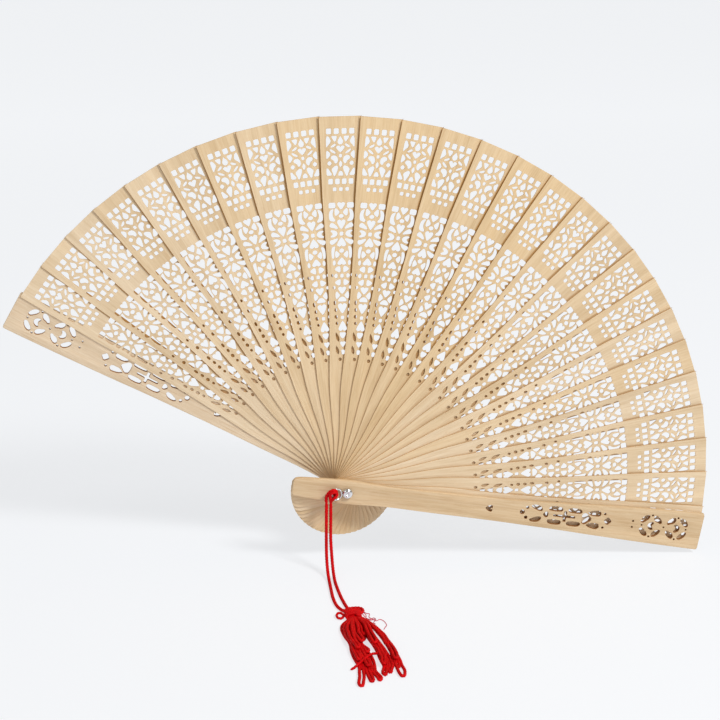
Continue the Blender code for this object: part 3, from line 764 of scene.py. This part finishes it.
def turned(name, profile, body, nodes, steps=64, smooth=3, ring=False, degrees=40):
    pts = [tuple(p) for p in profile]
    bm = bmesh.new()
    rings = []
    for r, y in pts:
        if r < 1e-6:
            rings.append([bm.verts.new((0, y * MM, 0))])
        else:
            rings.append([bm.verts.new((r * MM * math.cos(2 * math.pi * i / steps), y * MM,
                                        r * MM * math.sin(2 * math.pi * i / steps))) for i in range(steps)])
    pairs = list(zip(rings, rings[1:])) + ([(rings[-1], rings[0])] if ring else [])
    for a, b in pairs:
        for i in range(steps):
            j = (i + 1) % steps
            quad = list(dict.fromkeys([a[i % len(a)], a[j % len(a)], b[j % len(b)], b[i % len(b)]]))
            if len(quad) > 2:
                bm.faces.new(quad)
    me = bm_mesh(name, bm, degrees)
    return add_object(name, me, [PLATED], body, nodes)


def smooth_profile(points, per=4):
    return [(max(0.0, p.x), p.y) for p in catmull([Vector(q) for q in points], per)]


dome_part = smooth_profile(((0.0, HEAD_Y - 0.66 * RIVET_HEAD_H), (0.35, HEAD_Y - 0.68 * RIVET_HEAD_H),
                            (0.66, HEAD_Y - 0.84 * RIVET_HEAD_H), (1.0, HEAD_Y - 1.0 * RIVET_HEAD_H),
                            (1.50, HEAD_Y - 0.95 * RIVET_HEAD_H), (2.00, HEAD_Y - 0.74 * RIVET_HEAD_H),
                            (2.34, HEAD_Y - 0.46 * RIVET_HEAD_H), (2.52, HEAD_Y - 0.20 * RIVET_HEAD_H),
                            (2.50, HEAD_Y - 0.06 * RIVET_HEAD_H), (2.36, HEAD_Y)))
turned("rivet_turned", dome_part + [(0.90, HEAD_Y), (0.90, CAP_Y + 0.55), (0.0, CAP_Y + 0.55)],
       "front_body", ["rivet_pin"])
turned("rear_washer_turned", ((1.15, WASHER_Y + 0.06), (1.21, WASHER_Y), (2.90, WASHER_Y), (3.00, WASHER_Y + 0.10),
                              (3.00, WASHER_Y + WASHER_T - 0.10), (2.90, WASHER_Y + WASHER_T),
                              (1.21, WASHER_Y + WASHER_T), (1.15, WASHER_Y + WASHER_T - 0.06)),
       "front_body", ["rear_washer"], ring=True)
cap = smooth_profile(((2.15, CAP_Y), (2.29, CAP_Y + 0.12), (2.24, CAP_Y + 0.34), (1.95, CAP_Y + 0.74),
                      (1.45, CAP_Y + 1.08), (0.80, CAP_Y + 1.29), (0.0, CAP_Y + 1.36)))
turned("rivet_cap_turned", [(0.0, CAP_Y + 0.70), (1.05, CAP_Y + 0.70), (1.05, CAP_Y)] + cap,
       "front_body", ["rivet_cap"])

# ------------------------------------------------------------------ link: eye, neck and ring
RING_R, WIRE_R, NECK_X = 2.65, 0.45, -2.90
tilt = math.radians(24.0)
ring_out = Vector((-math.cos(tilt), -math.sin(tilt), 0.0))
ring_mid = Vector((NECK_X, LINK_Y, 0.0)) + ring_out * RING_R
ring_side = ring_out.cross(Vector((0, 0, 1))).normalized()


def ring_point(a):
    return ring_mid + ring_out * (RING_R * math.cos(a)) + Vector((0, 0, RING_R * math.sin(a)))


bm = bmesh.new()
loops = []
for i in range(72):
    a = 2 * math.pi * i / 72
    radial = ring_out * math.cos(a) + Vector((0, 0, math.sin(a)))
    loops.append([bm.verts.new((ring_point(a) + WIRE_R * (radial * math.cos(2 * math.pi * j / 16)
                  + ring_side * math.sin(2 * math.pi * j / 16))) * MM) for j in range(16)])
for a, b in zip(loops, loops[1:] + loops[:1]):
    for j in range(16):
        bm.faces.new((a[j], a[(j + 1) % 16], b[(j + 1) % 16], b[j]))
# the eye: a stamped collar with rounded rims
rows = []
eye_section = ((1.10, -0.24), (1.16, -0.30), (1.93, -0.30), (2.05, -0.18), (2.05, 0.18), (1.93, 0.30), (1.16, 0.30), (1.10, 0.24))
for i in range(64):
    a = 2 * math.pi * i / 64
    rows.append([bm.verts.new((r * MM * math.cos(a), (LINK_Y + y) * MM, r * MM * math.sin(a))) for r, y in eye_section])
for a, b in zip(rows, rows[1:] + rows[:1]):
    for j in range(8):
        bm.faces.new((a[j], a[(j + 1) % 8], b[(j + 1) % 8], b[j]))
# the neck between them, waisted
neck = []
for x, hz, hy in ((-1.75, 0.62, 0.26), (-2.05, 0.56, 0.27), (-2.35, 0.50, 0.29), (-2.65, 0.54, 0.33), (-3.10, 0.66, 0.37)):
    neck.append([bm.verts.new((x * MM, (LINK_Y + hy * math.sin(2 * math.pi * j / 16)) * MM,
                               hz * MM * math.cos(2 * math.pi * j / 16))) for j in range(16)])
for a, b in zip(neck, neck[1:]):
    for j in range(16):
        bm.faces.new((a[j], a[(j + 1) % 16], b[(j + 1) % 16], b[j]))
bm.faces.new(neck[0])
bm.faces.new(neck[-1])
add_object("swivel_link_turned", bm_mesh("swivel_link_turned", bm, 40), [PLATED], "link_body", ["swivel_link"])

# ------------------------------------------------------------------ hitch: the cord doubled round the ring
wire = ring_mid + ring_out * RING_R                         # outermost point of the ring's wire


def around_wire(a, offset, lift, tube=CORD_R + WIRE_R + 0.02):
    """A point beside the ring's wire: a turns about it, offset runs along the ring."""
    ang = offset / RING_R
    radial = ring_out * math.cos(ang) + Vector((0, 0, math.sin(ang)))
    centre = ring_point(ang)
    return centre + (radial * math.cos(a) + ring_side * math.sin(a)) * tube + Vector((0, 0, lift))


bm = bmesh.new()
# the left strand arches over the ring's top; the right one crosses in front of it; both pass behind the wire
arch = [(-10.4, -3.1, -3.9), (-10.5, -3.2, -1.8), (-10.35, -3.4, -0.2), (-9.7, -3.7, 1.2), (-8.6, -3.9, 2.4),
        (-7.2, -3.9, 3.0), (-6.0, -3.6, 2.6), (-5.5, -2.9, 1.6), (-5.8, -2.0, 0.7)]
cross = [(-8.3, -3.2, -4.1), (-8.4, -3.4, -2.4), (-8.7, -3.9, -0.8), (-8.95, -4.5, 0.5), (-8.4, -4.9, 1.6),
         (-7.3, -4.8, 2.2), (-6.3, -4.2, 2.0), (-5.8, -3.2, 1.3), (-6.1, -2.0, 0.5)]
leg = [(-5.5, -2.9, 1.7), (-5.3, -3.5, 0.8), (-5.8, -4.0, -0.2), (-6.7, -4.1, -1.0), (-7.7, -3.9, -1.8), (-8.3, -3.4, -3.2)]
behind = [(-10.1, -3.0, 0.2), (-9.3, -2.0, 0.7), (-7.9, -1.4, 0.8), (-6.7, -1.3, 0.3), (-6.2, -2.0, -0.6), (-6.8, -3.0, -1.3)]
for p in (arch, cross, leg, behind):
    rope_into(bm, spline(p, 6), CORD_R + 0.04, sides=15)
add_object("cord_hitch_twist", bm_mesh("cord_hitch_twist", bm, 80), [RED], "link_body", ["cord_hitch"])

# ------------------------------------------------------------------ tassel: bow, little loop and knot
bm = bmesh.new()
bow = [(-4.4, -50.2, -38.6), (-6.0, -48.4, -38.8), (-5.8, -46.2, -39.1), (-4.2, -44.6, -39.1), (-1.8, -44.2, -39.1), (0.6, -44.3, -39.1),
       (2.0, -45.6, -39.1), (2.0, -47.8, -39.1), (0.9, -49.6, -38.9), (-1.0, -51.2, -38.2)]
rope_into(bm, spline(bow, 7), 0.90)
bow_in = [(-4.8, -49.2, -37.9), (-4.3, -47.6, -38.2), (-2.6, -47.2, -38.2), (-0.6, -47.2, -38.2), (0.4, -48.4, -38.2),
          (-0.2, -50.2, -38.0), (-2.4, -51.4, -37.6)]
rope_into(bm, spline(bow_in, 7), 0.85, lead=0.8)
add_object("tassel_bow_loops", bm_mesh("tassel_bow_loops", bm, 80), [RED], "link_body", ["tassel_bow"])

bm = bmesh.new()
wraps = []
turns, n = 3.1, 84
for i in range(n + 1):
    u = i / n
    a = 2 * math.pi * turns * u + 0.6
    wraps.append(Vector((-2.9 + 3.1 * math.cos(a), -51.2 - 4.6 * u, -37.9 + 1.45 * math.sin(a))))
for p in wraps:
    p.z = max(p.z, REST_Z)
rope_into(bm, wraps, 0.85)
small = []
for i in range(25):
    a = 2 * math.pi * i / 24 * 0.95 + 0.2
    small.append(Vector((-8.7 + 1.5 * math.cos(a), -51.4 + 2.3 * math.sin(a), -38.9 + 0.25 * math.sin(a))))
rope_into(bm, [Vector((-5.6, -51.4, -38.6))] + small + [Vector((-5.8, -52.6, -38.6))], 0.66, sides=12)
core = bmesh.ops.create_uvsphere(bm, u_segments=24, v_segments=14, radius=1.0)["verts"]
for v in core:
    v.co = Vector((v.co.x * 3.0 - 2.9, v.co.y * 4.6 - 53.0, v.co.z * 1.3 - 38.3)) * MM
add_object("tassel_knot_wraps", bm_mesh("tassel_knot_wraps", bm, 80), [RED], "link_body", ["tassel_knot"])

# ------------------------------------------------------------------ tassel: looped threads of the skirt
# Three bands of threads lie side by side on the floor; each band runs between two edges, given as x at these y:
SKIRT_Y = [-56.0 - 4.0 * i for i in range(14)]
BANDS = {
    "a": ((-5.6, -8.3, -9.3, -8.9, -8.3, -7.3, -6.8, -7.0, -6.9, -6.5, -5.6, -5.2, -5.5, -6.0),
          (-2.4, -1.8, -1.6, -1.9, -2.4, -2.2, -1.7, -0.8, 0.3, 1.2, 1.5, 1.3, 1.2, 1.6)),
    "b": ((-0.8, 0.2, 0.6, 0.9, 1.2, 2.0, 2.9, 3.7, 4.1, 4.4, 4.9, 5.3, 5.6, 5.6),
          (0.8, 2.6, 3.4, 3.8, 4.5, 5.4, 6.3, 7.1, 7.9, 8.5, 8.9, 9.0, 8.9, 8.8)),
    "c": ((1.2, 3.6, 5.0, 6.1, 7.1, 8.0, 8.8, 9.4, 9.8, 10.0, 10.2, 10.4, 10.7, 11.0),
          (2.0, 4.2, 6.0, 7.4, 8.7, 9.7, 10.6, 11.4, 12.0, 12.4, 12.7, 13.0, 13.4, 13.2)),
    "d": ((-2.4, -1.8, -1.2, -1.0, -0.9, -0.8) + (-0.8,) * 8, (0.4, 1.2, 1.7, 1.9, 2.0, 2.1) + (2.1,) * 8),
}
# band, the two legs of a loop as shares of the band's width, its lowest point (x, y), its layer
LOOPS = (
    ("a", 0.00, 0.26, (-5.9, -115.6), 0), ("a", 0.44, 0.62, (-1.2, -112.4), 0), ("a", 0.80, 1.00, (2.2, -111.6), 0),
    ("a", 0.17, 0.36, (-3.9, -101.5), 0), ("a", 0.52, 0.72, (0.2, -105.0), 0),
    ("a", 0.10, 0.32, (-4.8, -93.0), 1), ("a", 0.45, 0.66, (-1.4, -98.5), 1), ("a", 0.76, 0.96, (-0.6, -86.5), 1),
    ("a", 0.25, 0.55, (-4.4, -82.0), 2), ("a", 0.62, 0.92, (-2.2, -76.0), 2),
    ("b", 0.00, 0.36, (4.9, -107.4), 0), ("b", 0.66, 1.00, (7.4, -105.4), 0), ("b", 0.36, 0.66, (6.1, -101.0), 0),
    ("b", 0.15, 0.50, (5.3, -97.5), 1), ("b", 0.55, 0.88, (6.6, -90.0), 1), ("b", 0.20, 0.75, (3.3, -78.0), 2),
    ("d", 0.00, 0.55, (-0.6, -75.0), 0), ("d", 0.5, 1.0, (0.9, -72.0), 0), ("d", 0.2, 0.8, (0.0, -70.0), 1),
    ("c", 0.35, 0.70, (11.2, -101.5), 0), ("c", 0.00, 1.00, (12.2, -109.2), 0), ("c", 0.10, 0.90, (10.9, -93.2), 1), ("c", 0.5, 1.0, (8.7, -80.0), 1),
)


def band_point(band, i, share):
    return BANDS[band][0][i] * (1 - share) + BANDS[band][1][i] * share


bm = bmesh.new()
rng = random.Random(11)
for band, fa, fb, (bx, by), layer in LOOPS:
    level = REST_Z + 1.42 * layer
    stations = [i for i, y in enumerate(SKIRT_Y) if y > by + 5.0]
    if layer:
        fa, fb = fa + rng.uniform(-0.03, 0.03), fb + rng.uniform(-0.03, 0.03)
    down = [(band_point(band, i, fa) + rng.uniform(-0.12, 0.12), SKIRT_Y[i]) for i in stations]
    up = [(band_point(band, i, fb) + rng.uniform(-0.12, 0.12), SKIRT_Y[i]) for i in stations]
    gap = max(0.75, min(1.1, abs(up[-1][0] - down[-1][0]) / 2))
    turn_ = [(bx - gap, by + 2.4), (bx - 0.62 * gap, by + 0.5), (bx, by), (bx + 0.62 * gap, by + 0.5), (bx + gap, by + 2.4)]
    top = (-2.6 if band == "a" else -1.8 if band == "b" else -0.6, -53.0)
    route = [top] + down + turn_ + up[::-1] + [(top[0] + 0.6, -53.4)]
    pts = []
    for x, y in route:
        near = max(0.0, 1.0 - (abs(y) - 53.0) / 11.0)
        z = level + (REST_Z + 1.5 - level) * near * near
        pts.append((x, y - 2.0 * (z - REST_Z), z))
    rope_into(bm, [Vector((p.x, p.y, max(p.z, REST_Z - 0.02))) for p in spline(pts, 5)], 0.80,
              lead=rng.uniform(0, 2), sides=12, step=0.6)
rope_into(bm, spline([(5.0, -87.0, REST_Z + 1.2), (3.4, -90.6, REST_Z + 1.3), (1.4, -92.6, REST_Z + 2.2), (-0.8, -94.6, REST_Z + 2.4), (-3.2, -96.4, REST_Z + 1.5), (-5.6, -99.2, REST_Z + 1.1), (-7.6, -100.6, REST_Z + 0.2),
                      (-9.0, -101.4, REST_Z)], 5), 0.66, sides=12, step=0.6)
add_object("tassel_skirt_threads", bm_mesh("tassel_skirt_threads", bm, 80), [RED], "link_body", ["tassel_skirt"])

FIBRES = (
    ((1.6, -47.8, -38.4), (3.4, -49.2, -39.4), (4.9, -49.4, -39.7), (4.4, -52.6, -39.7), (5.6, -54.6, -39.7), (7.2, -56.6, -39.7),
     (9.0, -55.4, -39.7), (10.6, -57.4, -39.7), (11.3, -61.2, -39.7), (10.4, -63.4, -39.7), (9.5, -65.4, -39.8)),
    ((2.0, -48.6, -38.6), (3.2, -51.0, -39.5), (3.0, -53.4, -39.7), (4.8, -54.8, -39.7), (6.4, -53.6, -39.7), (7.0, -56.0, -39.4),
     (5.8, -58.4, -39.6), (6.6, -59.6, -39.8)),
    ((1.2, -49.4, -38.8), (2.6, -52.0, -39.7), (4.0, -55.6, -39.6), (5.8, -56.2, -39.3), (7.2, -54.8, -39.6)),
)
bm = bmesh.new()
for p in FIBRES:
    rope_into(bm, spline(p, 10), 0.23, pitch=1.4, plies=2, depth=0.2, sides=6, step=0.35)
add_object("tassel_loose_fibres", bm_mesh("tassel_loose_fibres", bm, 80), [PINK], "link_body")

# ------------------------------------------------------------------ ribbon on the backs of the sticks
RIB_IN, RIB_OUT, RIB_T, STAND, MARGIN = 138.8, 142.8, 0.06, 0.02, 0.40
TURN = REAR_DEG - FRONT_DEG


def edge_angle(centre):
    return centre - math.degrees(math.asin(8.75 / RIB_IN))


def share(angle):
    return (angle - FRONT_DEG) / TURN


stations = []                                       # (angle, y, weight)
for k in range(N_STICKS, 0, -1):
    back = stick_front(k) + STICK_T + STAND
    w = share(stick_angle(k))
    low = edge_angle(stick_angle(k)) + MARGIN
    nxt = stick_angle(k - 1) if k > 1 else REAR_DEG
    nw = share(nxt)
    high = edge_angle(nxt) - MARGIN
    if k == N_STICKS:
        low -= 0.0
    for s in range(5):
        a = low + (high - low) * s / 4
        stations.append((a, back + lift(k, 140.0, 140.0 * math.sin(math.radians(a - stick_angle(k)))),
                         w if s < 4 else w + (nw - w) * 0.5))
    back = stations[-1][1]
    # the riser to the next stick's back
    nb = stick_front(k - 1) + STICK_T + STAND + lift(k - 1, 140.0, -8.6) if k > 1 else 0.0
    if k > 1:
        for u in (0.0, 0.35, 0.7, 1.0):
            stations.append((high + 0.03 + 0.25 * u, back + (nb - back) * (u * u * (3 - 2 * u)), nw))
bm = bmesh.new()
rows, weights = [], []
for a, y, w in stations:
    t = math.radians(a)
    row = []
    for r, off in ((RIB_IN, 0.0), (RIB_IN + 1.3, 0.012), (RIB_OUT - 1.3, 0.012), (RIB_OUT, 0.0)):
        row.append(bm.verts.new((r * MM * math.cos(t), (y + off) * MM, r * MM * math.sin(t))))
        weights.append(w)
    for r, off in ((RIB_OUT, RIB_T), (RIB_OUT - 1.3, RIB_T + 0.012), (RIB_IN + 1.3, RIB_T + 0.012), (RIB_IN, RIB_T)):
        row.append(bm.verts.new((r * MM * math.cos(t), (y + off) * MM, r * MM * math.sin(t))))
        weights.append(w)
    rows.append(row)
for a, b in zip(rows, rows[1:]):
    for j in range(8):
        bm.faces.new((a[j], a[(j + 1) % 8], b[(j + 1) % 8], b[j]))
bm.faces.new(rows[0])
bm.faces.new(rows[-1])
me = bm_mesh("back_ribbon_cloth", bm, 50)
ribbon = bpy.data.objects.new("back_ribbon_cloth", me)
scene.collection.objects.link(ribbon)
me.materials.append(CLOTH)
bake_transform(ribbon, "front_body", "rear_body", start=(0.14, 0, 0), end=(-0.12, 0, 0.07))
me.attributes["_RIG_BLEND"].data.foreach_set("value", weights)
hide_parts("back_ribbon")

# ------------------------------------------------------------------ floor, light
m, nt, bsdf = material("stage_floor")
bsdf.inputs["Base Color"].default_value = (0.26, 0.262, 0.266, 1.0)
bsdf.inputs["Roughness"].default_value = 0.75
bsdf.inputs["Specular IOR Level"].default_value = 0.2
bsdf.inputs["Emission Color"].default_value = (0.935, 0.962, 1.0, 1.0)
place = node(nt, "ShaderNodeTexCoord").outputs["Object"]
split = node(nt, "ShaderNodeSeparateXYZ")
nt.links.new(place, split.inputs[0])
far = node(nt, "ShaderNodeMapRange")
for socket, v in zip(("From Min", "From Max", "To Min", "To Max"), (-0.1, 1.6, 0.72, 0.81)):
    far.inputs[socket].default_value = v
nt.links.new(split.outputs["Y"], far.inputs["Value"])
nt.links.new(far.outputs["Result"], bsdf.inputs["Emission Strength"])
me = bpy.data.meshes.new("stage_floor")
S = 12.0
me.from_pydata([(-S, -S, FLOOR_Z * MM), (S, -S, FLOOR_Z * MM), (S, S, FLOOR_Z * MM), (-S, S, FLOOR_Z * MM)], [], [(0, 1, 2, 3)])
floor = bpy.data.objects.new("stage_floor", me)
scene.collection.objects.link(floor)
me.materials.append(m)

world = bpy.data.worlds.new("studio")
scene.world = world
world.use_nodes = True
world.node_tree.nodes["Background"].inputs["Color"].default_value = (1.0, 0.93, 0.83, 1.0)
world.node_tree.nodes["Background"].inputs["Strength"].default_value = 0.34


def softbox(name, where, target, size, power, colour=(1.0, 1.0, 1.0)):
    data = bpy.data.lights.new(name, "AREA")
    data.shape = "SQUARE"
    data.size = size
    data.energy = power
    data.color = colour
    ob = bpy.data.objects.new(name, data)
    scene.collection.objects.link(ob)
    ob.location = where
    ob.rotation_euler = (Vector(target) - Vector(where)).to_track_quat("-Z", "Y").to_euler()
    return ob


softbox("key", (0.85, -1.05, 1.35), (0.0, 0.0, 0.07), 0.42, 26.0, (0.985, 0.99, 1.0))
softbox("fill", (-1.1, -1.0, 0.8), (0.0, 0.0, 0.07), 0.9, 2.5, (0.97, 0.98, 1.0))

scene.view_settings.view_transform = "Standard"
scene.view_settings.look = "None"
scene.view_settings.exposure = 0.0
scene.view_settings.gamma = 1.0

# ------------------------------------------------------------------ the two strands, looked up with their start points and the knot
knot = bpy.data.objects["tassel_knot_wraps"]
for cord_name, exit_point, pieces in (("cord_left", (-10.4, -3.1, -3.4), [knot]), ("cord_right", (-8.3, -3.2, -3.6), [])):
    ob, path, length = strands[cord_name]
